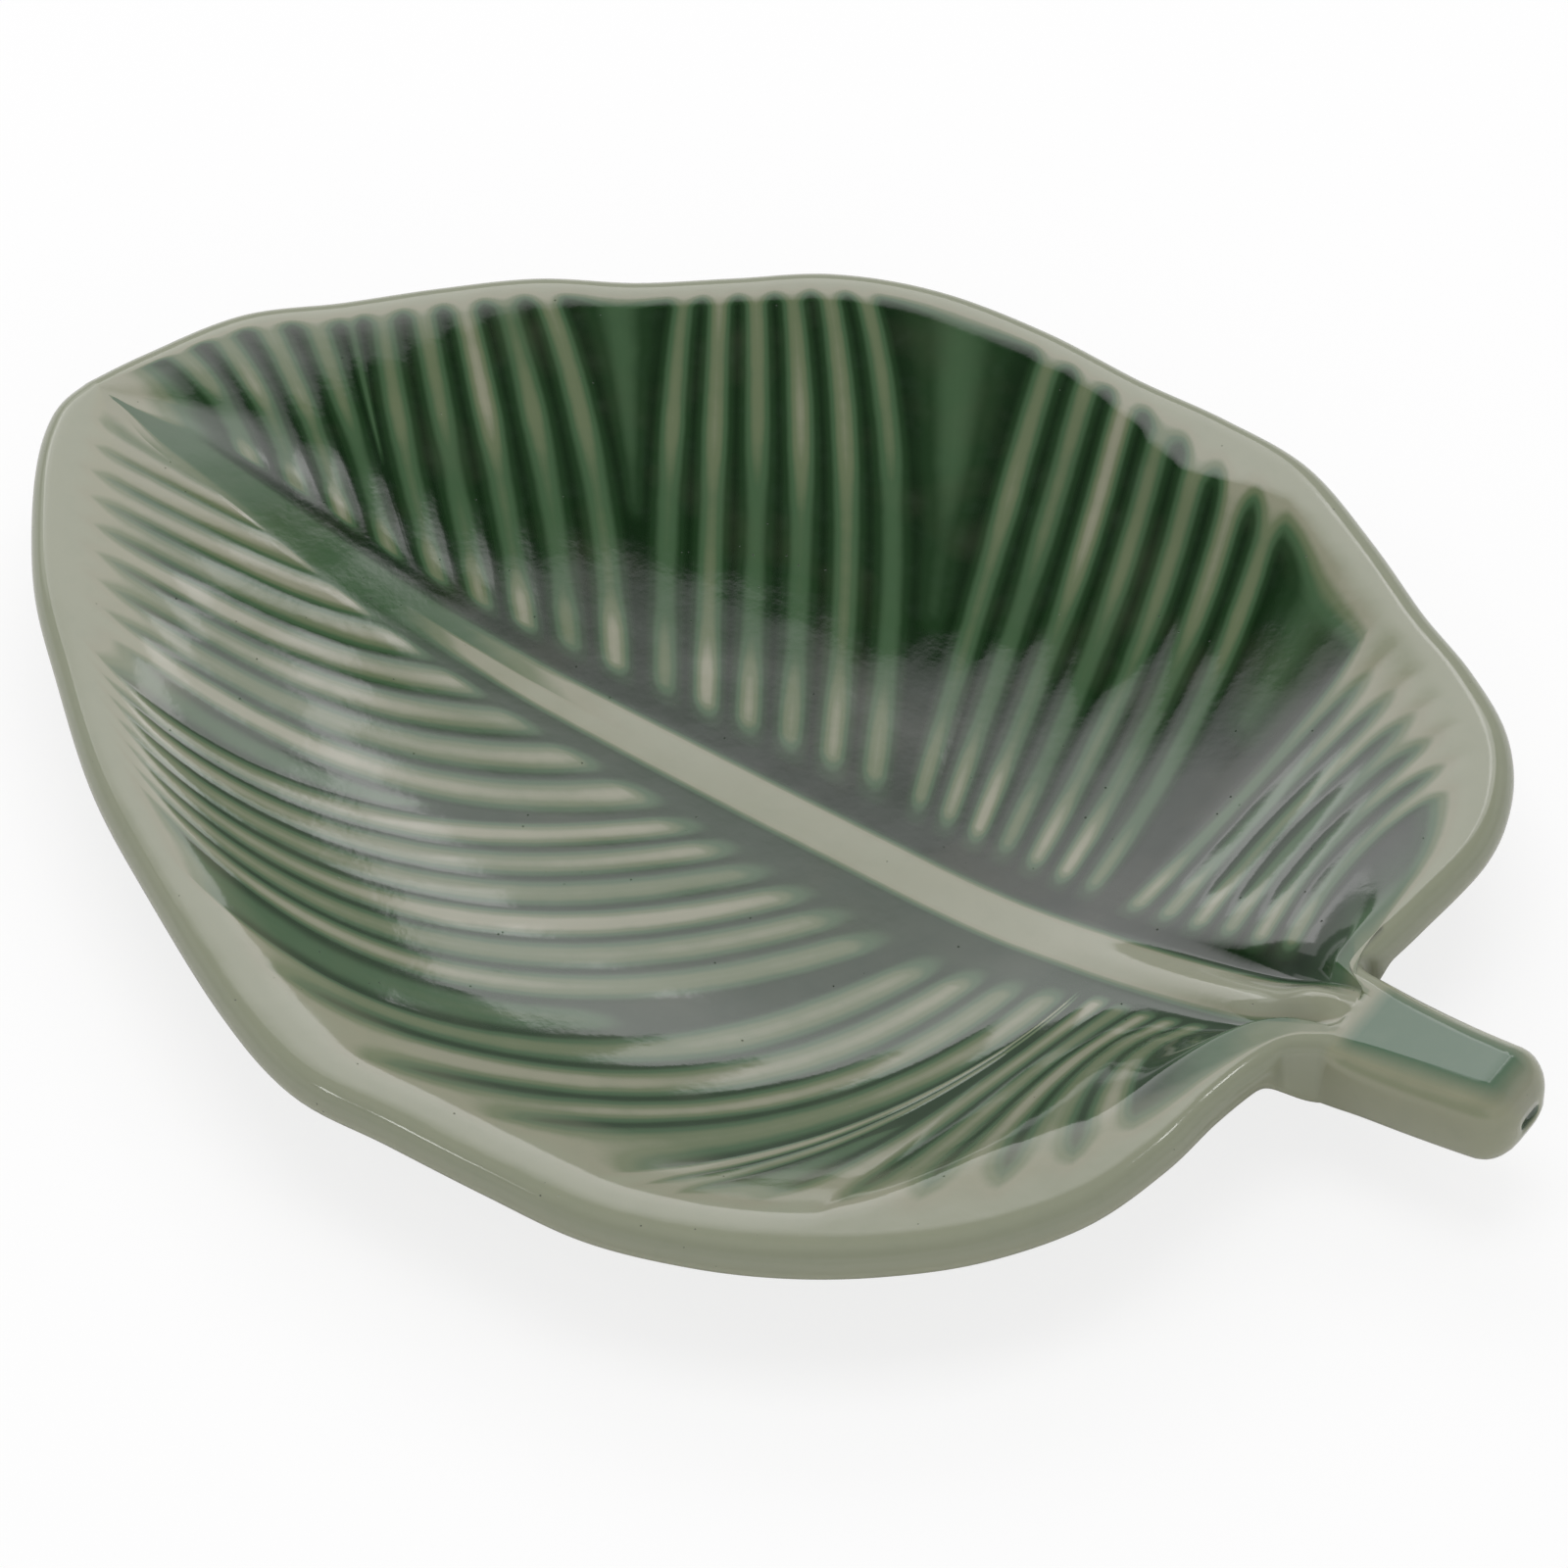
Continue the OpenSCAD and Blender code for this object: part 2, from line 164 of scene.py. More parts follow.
class Shader:
    """A node tree with one way to add any node."""

    def __init__(self, tree: bpy.types.NodeTree) -> None:
        """Empty the node tree of a material, a lamp or the world."""
        self.tree = tree
        tree.nodes.clear()

    def node(self, kind: str, settings: Optional[dict] = None, **inputs: object) -> bpy.types.Node:
        """Add a node.

        Args:
            kind: Node type without its ShaderNode prefix.
            settings: Settings of the node, with a ramp's stops under "stops".
            inputs: Values or links of its sockets, with _ for a space in a name.

        Returns:
            The node.
        """
        made = self.tree.nodes.new("ShaderNode" + kind)
        for name, value in (settings or {}).items():
            if name == "stops":
                self._stops(made.color_ramp, value)
            else:
                setattr(made, name, value)
        for name, value in inputs.items():
            plug(self.tree, made.inputs[name.replace("_", " ")], value)
        return made

    @staticmethod
    def _stops(ramp: bpy.types.ColorRamp, stops: Sequence[tuple[float, Colour]]) -> None:
        """Set a ramp's stops.

        Args:
            ramp: Colour ramp with its two first stops.
            stops: Places and colours.
        """
        while len(ramp.elements) < len(stops):
            ramp.elements.new(0.5)
        for element, (place, colour) in zip(ramp.elements, stops):
            element.position = place
            element.color = (*colour, 1.0)

    def value(self, made: bpy.types.Node, output: Union[int, str] = 0) -> Sock:
        """Wrap a node's output, given by its name or number."""
        return Sock(self.tree, made.outputs[output])

    def attribute(self, name: str) -> Sock:
        """Read a number that the mesh carries."""
        return self.value(self.node("Attribute", {"attribute_name": name}), "Fac")

    def noise(self, scale: float, detail: float) -> Sock:
        """Noise around 0.5 on object coordinates, by its waves per metre and its octaves."""
        place = self.node("TexCoord").outputs["Object"]
        return self.value(self.node("TexNoise", Vector=place, Scale=scale, Detail=detail), 0)

    def ramp(self, share: Sock, stops: Sequence[tuple[float, Colour]]) -> bpy.types.NodeSocket:
        """Colour by a share.

        Args:
            share: Value between 0 and 1.
            stops: Places and colours.

        Returns:
            The colour.
        """
        made = self.node("ValToRGB", {"stops": stops}, Fac=share)
        made.color_ramp.interpolation = "EASE"
        return made.outputs["Color"]

    def blend(self, share: Sock, first: object, second: object) -> bpy.types.NodeSocket:
        """Mix two colours.

        Args:
            share: How much of the second.
            first: First colour.
            second: Second colour.

        Returns:
            The mixed colour.
        """
        made = self.node("Mix", {"data_type": "RGBA", "blend_type": "MIX"})
        plug(self.tree, made.inputs["Factor"], share)
        plug(self.tree, made.inputs[6], first)
        plug(self.tree, made.inputs[7], second)
        return made.outputs[2]


def put(name: str, data: bpy.types.ID) -> bpy.types.Object:
    """Add an object to the scene.

    Args:
        name: Name of the object.
        data: Its mesh, lamp or camera.

    Returns:
        The object.
    """
    made = bpy.data.objects.new(name, data)
    bpy.context.scene.collection.objects.link(made)
    return made


def shape(name: str, bm: bmesh.types.BMesh) -> bpy.types.Object:
    """Turn finished mesh work into an object of the scene.

    Args:
        name: Name of the object and its mesh.
        bm: The mesh work, which is freed.

    Returns:
        The object.
    """
    mesh = bpy.data.meshes.new(name)
    bm.to_mesh(mesh)
    bm.free()
    return put(name, mesh)


def new_material(name: str) -> tuple[bpy.types.Material, Shader]:
    """Start a material.

    Args:
        name: Name of the finish.

    Returns:
        The material and its shader.
    """
    material = bpy.data.materials.new(name)
    material.use_nodes = True
    return material, Shader(material.node_tree)


@dataclass(frozen=True)
class CeladonGlaze:
    """Glossy green glaze: thin and pale on the ridges, dark where it pools, with a painted reflection over
    the stalk's top.
    """

    thin: Colour = screen_colour(140, 144, 124)
    ridge: Colour = screen_colour(138, 139, 119)
    halo: Colour = screen_colour(98, 110, 82)
    slope: Colour = screen_colour(64, 90, 62)
    pool: Colour = screen_colour(30, 54, 29)
    deep: Colour = screen_colour(12, 32, 12)
    # Olive of the thin glaze, lightened so that the dimly lit sides and end of the stalk come out pale:
    # partly painted light.
    olive: Colour = screen_colour(146, 148, 122)
    # Teal laid over the stalk's top to line up with the lamp's reflection there: painted reflection.
    teal: Colour = screen_colour(84, 108, 88)
    pit: Colour = screen_colour(18, 26, 16)
    depth_stops: tuple[float, ...] = (0.0, 0.2, 0.38, 0.56, 0.78, 1.0)
    cloud_scale: float = 90.0
    mottle_scale: float = 420.0
    pit_scale: float = 650.0
    pit_edge: Span = (0.03, 0.09)
    pit_place_scale: float = 240.0
    pit_place: Span = (0.60, 0.66)
    pit_colour_share: float = 0.7
    wave_scale: float = 55.0
    grain_scale: float = 900.0
    olive_share: float = 0.85
    roughness: float = 0.09
    index: float = 1.52
    bump_height: float = 0.00006

    def build(self) -> bpy.types.Material:
        """Make the material.

        Returns:
            The material.
        """
        material, sh = new_material("celadon_glaze")
        cloud = sh.noise(self.cloud_scale, 3.0) - 0.5
        mottle = sh.noise(self.mottle_scale, 3.0) - 0.5
        pits = self._pits(sh)
        depth = (sh.attribute("pool") + cloud * 0.14 + mottle * 0.05).clamp()
        depths = (self.thin, self.ridge, self.halo, self.slope, self.pool, self.deep)
        colour = sh.ramp(depth, list(zip(self.depth_stops, depths)))
        olive = (sh.attribute("olive") + cloud * 0.3).clamp()
        # Olive: the glaze's own olive, partly painted light where it lightens the stalk's dim sides.
        colour = sh.blend(olive * self.olive_share, colour, self.olive)
        # Painted reflection: teal over the stalk's top.
        colour = sh.blend((sh.attribute("teal") + mottle * 0.2).clamp(), colour, self.teal)
        colour = sh.blend(pits * self.pit_colour_share, colour, self.pit)
        waves, grain = sh.noise(self.wave_scale, 2.0), sh.noise(self.grain_scale, 2.0)
        height = waves * 3.0 + grain * 0.12 - pits * 0.8
        bump = sh.node("Bump", Strength=1.0, Distance=self.bump_height, Height=height)
        roughness = self.roughness + mottle * 0.05 + pits * 0.2
        body = sh.node("BsdfPrincipled", Base_Color=colour, Roughness=roughness, Normal=bump.outputs[0])
        body.inputs["IOR"].default_value = self.index
        sh.node("OutputMaterial", Surface=body.outputs[0])
        return material

    def _pits(self, sh: Shader) -> Sock:
        """Few pinholes in the glaze, and many in the dimple.

        Args:
            sh: Shader of the glaze.

        Returns:
            1 in a pinhole and 0 elsewhere.
        """
        place = sh.node("TexCoord").outputs["Object"]
        cells = sh.node("TexVoronoi", {"feature": "F1"}, Vector=place, Scale=self.pit_scale)
        holes = 1.0 - sh.value(cells, "Distance").over(*self.pit_edge)
        rare = sh.noise(self.pit_place_scale, 1.0).over(*self.pit_place)
        return (holes * rare + sh.attribute("pitted") * holes).clamp()


@dataclass(frozen=True)
class BareClay:
    """Unglazed stoneware of the foot, wiped clean before firing."""

    pale: Colour = screen_colour(196, 178, 150)
    toasted: Colour = screen_colour(160, 128, 96)
    speck: Colour = screen_colour(92, 70, 52)
    cloud_scale: float = 60.0
    cloud_edge: Span = (0.35, 0.7)
    grain_scale: float = 1400.0
    speck_scale: float = 2200.0
    speck_edge: Span = (0.68, 0.74)
    roughness: float = 0.82
    bump_height: float = 0.00012
    bump_strength: float = 0.6

    def build(self) -> bpy.types.Material:
        """Make the material.

        Returns:
            The material.
        """
        material, sh = new_material("bare_clay")
        cloud = sh.noise(self.cloud_scale, 4.0).over(*self.cloud_edge)
        grain = sh.noise(self.grain_scale, 3.0)
        colour = sh.ramp(cloud, [(0.0, self.pale), (1.0, self.toasted)])
        specks = sh.noise(self.speck_scale, 1.0).over(*self.speck_edge)
        colour = sh.blend(specks, colour, self.speck)
        bump = sh.node("Bump", Strength=self.bump_strength, Distance=self.bump_height, Height=grain)
        roughness = self.roughness + (grain - 0.5) * 0.2
        body = sh.node("BsdfPrincipled", Base_Color=colour, Roughness=roughness, Normal=bump.outputs[0])
        sh.node("OutputMaterial", Surface=body.outputs[0])
        return material


@dataclass(frozen=True)
class StudioPaper:
    """White floor that keeps the dish's soft shadow."""

    shade: float = 0.92
    glow_share: float = 0.8

    def build(self) -> bpy.types.Material:
        """Make the material.

        Returns:
            The material.
        """
        material, sh = new_material("studio_paper")
        paper = sh.node("BsdfDiffuse", Color=(self.shade, self.shade, self.shade))
        glow = sh.node("Emission", Color=(1.0, 1.0, 1.0), Strength=1.0)
        seen = sh.value(sh.node("LightPath"), "Is Camera Ray")
        mixed = sh.node("MixShader", Fac=seen * self.glow_share)
        plug(sh.tree, mixed.inputs[1], paper.outputs[0])
        plug(sh.tree, mixed.inputs[2], glow.outputs[0])
        sh.node("OutputMaterial", Surface=mixed.outputs[0])
        return material


@dataclass(frozen=True)
class Lobe:
    """One row of veins, or one smooth cleft, on one side of the leaf.

    Root and rim ends are shares of the midrib and of the rim, from the tip. Start, along and
    aside are shares of a vein line's length: where its relief starts, and where it bends.
    """

    veins: int
    steps: int
    root_end: float
    rim_end: float
    height: float
    start: float
    along: float
    aside: float


LOBES = {Side.FAR: (
    Lobe(1, 4, 0.100, 0.032, 0.4, 0.30, 0.60, -0.15),
    Lobe(4, 4, 0.257, 0.126, 1.0, 0.05, 0.40, 0.01),
    Lobe(1, 4, 0.261, 0.138, 0.5, 0.45, 0.46, 0.05),
    Lobe(5, 4, 0.435, 0.234, 1.0, 0.05, 0.60, -0.09),
    Lobe(1, 4, 0.440, 0.286, 0.5, 0.40, 0.61, 0.04),
    Lobe(6, 4, 0.630, 0.385, 1.0, 0.05, 0.68, -0.10),
    Lobe(1, 4, 0.635, 0.470, 0.5, 0.30, 0.70, 0.03),
    Lobe(7, 4, 0.783, 0.626, 1.0, 0.05, 0.55, -0.08),
    Lobe(1, 4, 0.792, 0.718, 0.5, 0.45, 0.62, 0.0),
    Lobe(6, 4, 0.940, 0.845, 1.0, 0.05, 0.68, 0.22),
    Lobe(1, 14, 1.000, 1.000, 0.4, 0.20, 0.50, 0.0),
), Side.NEAR: (
    Lobe(1, 6, 0.117, 0.017, 0.4, 0.30, 0.30, -0.03),
    Lobe(8, 4, 0.520, 0.146, 1.0, 0.05, 0.45, -0.30),
    Lobe(1, 7, 0.524, 0.156, 0.5, 0.35, 0.62, -0.36),
    Lobe(6, 4, 0.709, 0.226, 1.0, 0.05, 0.57, -0.54),
    Lobe(1, 7, 0.714, 0.292, 0.5, 0.30, 0.60, -0.54),
    Lobe(4, 4, 0.816, 0.600, 1.0, 0.05, 0.40, -0.14),
    Lobe(2, 4, 0.821, 0.636, 1.0, 0.20, 0.45, -0.10),
    Lobe(1, 7, 0.826, 0.677, 0.5, 0.55, 0.30, -0.02),
    Lobe(5, 4, 0.918, 0.882, 1.0, 0.05, 0.40, 0.30),
    Lobe(1, 19, 1.000, 1.000, 0.4, 0.20, 0.50, 0.0),
)}
RIMS = {Side.FAR: (
    (0.025, 0.188), (0.055, 0.346), (0.102, 0.461), (0.147, 0.577), (0.196, 0.686),
    (0.253, 0.765), (0.306, 0.861), (0.359, 0.956), (0.425, 1.011), (0.503, 1.022),
    (0.581, 1.006), (0.648, 1.002), (0.715, 0.979), (0.785, 0.888), (0.847, 0.791),
    (0.900, 0.720), (0.944, 0.638), (0.972, 0.535), (0.985, 0.412), (0.981, 0.243),
    (0.977, 0.138), (0.979, 0.072),
), Side.NEAR: (
    (0.009, 0.008), (0.033, -0.118), (0.086, -0.300), (0.145, -0.443), (0.220, -0.607),
    (0.300, -0.740), (0.400, -0.889), (0.472, -0.964), (0.542, -0.971), (0.618, -0.977),
    (0.689, -0.976), (0.753, -0.937), (0.807, -0.879), (0.856, -0.799), (0.901, -0.694),
    (0.937, -0.554), (0.953, -0.402), (0.958, -0.274), (0.966, -0.170), (0.978, -0.105),
)}


@dataclass(frozen=True)
class Pools:
    """Depth of the glaze along one side's vein lines, from 0 at the midrib to 1 at the rim."""

    groove: float
    sharpness: float
    crest_by_midrib: float
    crest_by_rim: float
    pale_root: float
    fade: Span
    stalk_end_fade: Span
    tip_share: float
    tip_run: float
    olive: float
    crest_span: Span = (0.45, 0.65)
    pale_root_span: Span = (0.12, 0.24)
    first: float = 0.02
    first_run: float = 0.06
    landing_share: float = 0.35
    olive_rise: Span = (0.72, 0.82)
    olive_fall: Span = (0.86, 0.96)


POOLS = {
    Side.FAR: Pools(
        groove=0.94, sharpness=1.6, crest_by_midrib=0.42, crest_by_rim=0.22, pale_root=0.28,
        fade=(0.93, 0.99), stalk_end_fade=(0.60, 0.92), tip_share=0.3, tip_run=0.14, olive=0.0),
    Side.NEAR: Pools(
        groove=0.82, sharpness=1.1, crest_by_midrib=0.16, crest_by_rim=0.16, pale_root=0.0,
        fade=(0.80, 0.97), stalk_end_fade=(0.80, 0.97), tip_share=0.4, tip_run=0.4, olive=0.25)}


@dataclass(frozen=True)
class StalkPools:
    """Glaze of the stalk, with a painted reflection on its top, by the turn round its edge in radians and
    the place along it.
    """

    thin: float = 0.12
    top_turn: float = 0.7
    painted_reflection_start: Span = (0.02, 0.12)
    painted_reflection_end: Span = (0.80, 0.92)
    # Darker along the bottom of the stalk towards its end.
    low_turn: Span = (1.9, 2.9)
    low_place: Span = (0.8, 1.0)
    low_end_darkening: float = 0.3
    # A darker band along the middle of the stalk's -Y side, on that side only.
    line_turn: float = 0.95
    line_width: float = 0.2
    side_band_darkening: float = 0.3
    # Darker round a point below the dimple's middle on the end face.
    dimple_radii: Span = (1.4, 3.6)
    dimple_drop: float = 0.8
    dimple_depth: float = 0.6
    pitted_below: float = 0.3
    olive: float = 0.75

    def marks(self, turn: np.ndarray, y: np.ndarray, z: np.ndarray, place: float,
              on_face: bool) -> dict[str, np.ndarray]:
        """Marks of one section.

        Args:
            turn: Turn round the edge, from 0 on top to pi below.
            y: Sideways places from the middle.
            z: Heights from the middle.
            place: Place along the stalk, from 0 at the landing to 1 at the end.
            on_face: Whether the section lies on the end face.

        Returns:
            Named numbers for every point.
        """
        # On the top face, teal painted to line up with the lamp's reflection: painted reflection.
        on_top = 1 - rise(turn, 0.0, self.top_turn)
        along = rise(place, *self.painted_reflection_start) * (1 - rise(place, *self.painted_reflection_end))
        # dip: darker round a point below the dimple's middle; low: darker along the bottom towards the end.
        dip = (1 - rise(np.hypot(y, z + self.dimple_drop), *self.dimple_radii)) * on_face
        low = rise(turn, *self.low_turn) * rise(place, *self.low_place)
        # Darker band along the middle of the -Y side only.
        line = np.exp(-((turn - self.line_turn) / self.line_width) ** 2) * (y < 0) * along
        deep = np.maximum(self.dimple_depth * dip, self.low_end_darkening * low)
        return {
            "pool": self.thin + deep + self.side_band_darkening * line,
            # Painted reflection on the stalk's top face.
            "teal": on_top * along,
            # The glaze's olive on the stalk's sides and end, partly painted light that lightens these dimly
            # lit faces.
            "olive": self.olive * (1 - on_top) * (1 - dip),
            "pitted": dip * (z < self.pitted_below)}


def ease(share: np.ndarray) -> np.ndarray:
    """Smooth step from 0 to 1."""
    clipped = np.clip(share, 0.0, 1.0)
    return clipped * clipped * (3 - 2 * clipped)


def rise(value: np.ndarray, low: float, high: float) -> np.ndarray:
    """Smooth step from 0 at low to 1 at high."""
    return ease((value - low) / (high - low))


def mix(low: np.ndarray, high: np.ndarray, share: np.ndarray) -> np.ndarray:
    """Straight blend from low to high."""
    return low + (high - low) * share


def smooth_curve(points: Table, steps: int) -> np.ndarray:
    """Run a smooth curve through points.

    Args:
        points: Points of the curve.
        steps: Steps between two points.

    Returns:
        Points of the fine curve.
    """
    p = np.asarray(points, float)
    last = len(p) - 1
    rows = []
    share = (np.arange(steps) / steps)[:, None]
    for i in range(last):
        a, b, c, d = p[max(i - 1, 0)], p[i], p[min(i + 1, last)], p[min(i + 2, last)]
        rows.append((2 * b + (c - a) * share + (2 * a - 5 * b + 4 * c - d) * share ** 2
                     + (3 * b - a - 3 * c + d) * share ** 3) / 2)
    return np.vstack([*rows, p[last:]])


@dataclass
class Stations:
    """Vein lines of one side, one entry for each section of the blade."""

    root: np.ndarray
    rim: np.ndarray
    across: np.ndarray
    height: np.ndarray
    start: np.ndarray
    cleft: np.ndarray
    along: np.ndarray
    aside: np.ndarray

    @classmethod
    def lay_out(cls, lobes: Sequence[Lobe], finer: int) -> "Stations":
        """Spread the sections over the lobes of one side.

        Args:
            lobes: Rows of veins and clefts from the tip to the stalk.
            finer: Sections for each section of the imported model.

        Returns:
            The stations.
        """
        rows = []
        before = (0.0, 0.0, lobes[0].along, lobes[0].aside)
        for lobe in lobes:
            after = (lobe.root_end, lobe.rim_end, lobe.along, lobe.aside)
            count = lobe.veins * lobe.steps * finer
            for k in range(count):
                line = [b + (a - b) * k / count for b, a in zip(before, after)]
                across = (k / count * lobe.veins) % 1.0
                rows.append([*line, across, lobe.height, lobe.start, lobe.veins == 1])
            before = after
        last = lobes[-1]
        rows.append([*before, 0.0, last.height, last.start, last.veins == 1])
        root, rim, along, aside, across, height, start, cleft = np.array(rows, float).T
        return cls(root, rim, across, height, start, cleft, along, aside)


@dataclass
class GlazedDish:
    """Blade and stalk under one glaze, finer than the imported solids.

    Lengths are in millimetres. A share along the blade runs from 0 at the tip to 1 at the
    landing, and a share across runs from 0 at the midrib to 1 at the rim.
    """

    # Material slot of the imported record
    slot: str = "green_glaze"

    # Blade
    blade_length: float = 159.0
    half_width: float = 65.5
    dish_depth: float = 10.8
    wall: float = 4.4
    tip_inset: float = 3.0
    tip_lift: float = 1.5
    tip_lift_share: float = 0.28
    tip_sweep: float = 5.5
    tip_sweep_share: float = 0.40
    tip_sweep_power: float = 1.6
    landing_half: float = 1.4
    neck_from: float = 0.955

    # Hollow by the tip on the far side
    tip_hollow: float = 0.4
    hollow_start_share: float = 0.09
    hollow_end: Span = (0.1, 0.3)
    hollow_across_share: float = 0.5

    # Gentle wall by the stalk on the far side
    gentle_span: Span = (0.80, 0.93)
    gentle_share: float = 0.6
    gentle_power: float = 1.9

    # Rounding of the wall where the rim turns
    round_span: Span = (3.0, 9.0)
    straight_pull: float = 0.982

    # Veins: their relief in the clay, and what the glaze leaves of it
    vein_relief: float = 0.7
    glaze_relief: float = 0.05
    vein_power: float = 1.25
    vein_run: float = 0.09
    cleft_run: float = 0.35
    band_run: float = 0.13
    flat_tip_run: float = 0.08
    flat_landing_run: float = 0.06

    # Midrib
    midrib_half: float = 4.0
    midrib_height: float = 1.3
    midrib_glazed_share: float = 0.01
    midrib_bare_span: Span = (0.75, 0.93)
    midrib_start_span: Span = (-0.018, 0.042)
    midrib_tip_share: float = 0.15
    midrib_tip_run: float = 0.07
    midrib_pool: Span = (0.6, 0.08)
    midrib_pool_span: Span = (0.24, 0.40)
    midrib_edge_span: Span = (0.5, 0.95)
    stalk_end_spans: tuple[Span, Span] = ((0.68, 0.76), (0.78, 0.81))
    stalk_end_steps: Span = (0.4, 0.6)

    # Stalk
    stalk_length: float = 20.8
    stalk_width: float = 12.6
    stalk_height: float = 9.2
    stalk_rise: float = 1.0
    stalk_corner: float = 3.6
    stalk_round: float = 4.0
    stalk_shift: float = -0.3
    stalk_side_share: float = 0.8
    dimple_radius: float = 2.2
    dimple_depth: float = 0.4

    # Underside, and the seat of the foot
    foot_length: float = 76.0
    foot_width: float = 52.0
    foot_place_share: float = 0.575
    floor_wall: float = 3.8
    seat_lip: float = 1.2
    seat_blend: float = 16.0
    seat_least_share: float = 0.045
    under_olive: float = 0.8
    edge_olive: float = 0.9
    edge_olive_span: Span = (0.15, 0.65)

    # Fineness
    finer: int = 3
    line_steps: int = 42
    edge_steps: int = 10
    under_steps: int = 10
    shoulder_steps: int = 8
    stalk_rows: int = 20
    round_rows: int = 8
    face_rows: int = 12

    # Shares along the blade, and what they give
    band: dict = field(default_factory=lambda: {Side.FAR: 0.84, Side.NEAR: 0.78})
    far_ledge: Table = (
        (0, 0.5), (0.4, 1.5), (0.54, 2), (0.6, 4), (0.655, 7.5), (0.7, 5), (0.74, 2), (0.82, 1),
        (0.9, 1.5), (1, 1.5))
    near_ledge: Table = ((0, 0.5), (0.3, 1.5), (0.75, 2.5), (0.82, 4), (0.87, 8), (0.92, 5), (1, 1))
    far_lean: Table = (
        (0, 0.7), (0.16, 0.75), (0.32, 1), (0.5, 1), (0.57, 1.3), (0.63, 1.6), (0.69, 1.35),
        (0.76, 1), (1, 1))
    depth_shares: Table = (
        (0, 0), (0.08, 0.03), (0.15, 0.14), (0.23, 0.36), (0.31, 0.55), (0.42, 0.73),
        (0.60, 0.92), (0.72, 1), (0.80, 0.89), (0.87, 0.72), (0.93, 0.50), (0.97, 0.22), (1, 0))
    midrib_half_shares: Table = ((0, 0.15), (0.15, 0.5), (0.4, 0.85), (0.7, 1), (0.96, 1), (1, 0))
    midrib_height_shares: Table = (
        (0, 0), (0.1, 0.5), (0.35, 0.8), (0.7, 1), (0.9, 1.3), (0.965, 1.9), (1, 0))

    # Height of the wall by the share across, and the stalk's width, height and corner
    wall_shares: Table = (
        (0, 0), (0.25, 0.03), (0.45, 0.13), (0.65, 0.36), (0.8, 0.62), (0.9, 0.84), (0.96, 0.965),
        (1, 1))
    stalk_shares: Table = (
        (0, 1, 1, 0), (0.12, 1.01, 1, 0.35), (0.3, 1.01, 1, 0.75), (0.65, 0.97, 1.03, 1),
        (1, 0.92, 1.05, 1))

    def __post_init__(self) -> None:
        """Prepare the tables that the shape is read from."""
        self.rim_radius = self.wall / 2
        self.seat_z = -self.dish_depth - self.floor_wall
        self.tables = {
            name: smooth_curve(getattr(self, name), 12)
            for name in (
                "depth_shares", "wall_shares", "midrib_half_shares", "midrib_height_shares", "stalk_shares",
                "far_ledge", "near_ledge", "far_lean")}
        self.rims = {side: self._rim(RIMS[side], side) for side in Side}
        self.stations = {side: Stations.lay_out(LOBES[side], self.finer) for side in Side}
        self.middle_root = (self.stations[Side.FAR].root + self.stations[Side.NEAR].root) / 2

    def _rim(self, shares: Table, side: Side) -> tuple[np.ndarray, np.ndarray]:
        """Lay out the crest of the rim.

        Args:
            shares: Points of the crest as shares of the length and the half width.
            side: Side of the leaf.

        Returns:
            Lengths along the crest from 0 to 1, and its points.
        """
        tip = (self.rim_radius * 0.7, self.tip_sweep)
        middle = [(x * self.blade_length, y * self.half_width) for x, y in shares]
        landing_y = self.stalk_shift + side.value * (self.stalk_width / 2 - self.rim_radius)
        curve = smooth_curve([tip, *middle, (self.blade_length, landing_y)], 16)
        runs = np.concatenate([[0.0], np.cumsum(np.linalg.norm(np.diff(curve, axis=0), axis=1))])
        return runs / runs[-1], curve

    def _read(self, name: str, share: np.ndarray, column: int = 1) -> np.ndarray:
        """Read a smooth table."""
        table = self.tables[name]
        return np.interp(share, table[:, 0], table[:, column])

    def _rim_at(self, side: Side, share: np.ndarray) -> np.ndarray:
        """Points of the crest at shares of its length."""
        runs, curve = self.rims[side]
        return np.stack([np.interp(share, runs, curve[:, axis]) for axis in (0, 1)], -1)

    def _midrib_y(self, x: np.ndarray) -> np.ndarray:
        """Sideways place of the midrib."""
        left = np.clip(1 - x / (self.tip_sweep_share * self.blade_length), 0, None)
        return self.tip_sweep * left ** self.tip_sweep_power

    def _midrib_rise(self, root: np.ndarray) -> np.ndarray:
        """Height of the midrib over the glaze beside it, which nearly levels it up to the neck.

        Args:
            root: Shares along the midrib.

        Returns:
            Its heights.
        """
        bare = rise(root, *self.midrib_bare_span)
        share = mix(self.midrib_glazed_share, 1.0, bare)
        filled = (self.vein_relief - self.glaze_relief) * self._flatness(root)
        return self.midrib_height * self._read("midrib_height_shares", root) * share - filled * bare

    def _midrib(self, side: Side, share: float) -> np.ndarray:
        """Points of one line along the midrib.

        Args:
            side: Side of the leaf.
            share: Place across, from 0 on the crest to 1 where the vein lines start.

        Returns:
            One point for each section.
        """
        root = mix(self.middle_root, self.stations[side].root, share)
        x = mix(self.tip_inset, self.blade_length, root)
        y = self._midrib_y(x) + side.value * self._reach(root) * share
        fall = 0.5 + 0.5 * math.cos(math.pi * share)
        z = self._floor(x) - self.glaze_relief * self._flatness(root)
        return np.stack([x, y, z + self._midrib_rise(root) * fall], -1)

    def _crest_z(self, x: np.ndarray) -> np.ndarray:
        """Height of the rim's crest."""
        return self.tip_lift * np.clip(1 - x / (self.tip_lift_share * self.blade_length), 0, None) ** 2

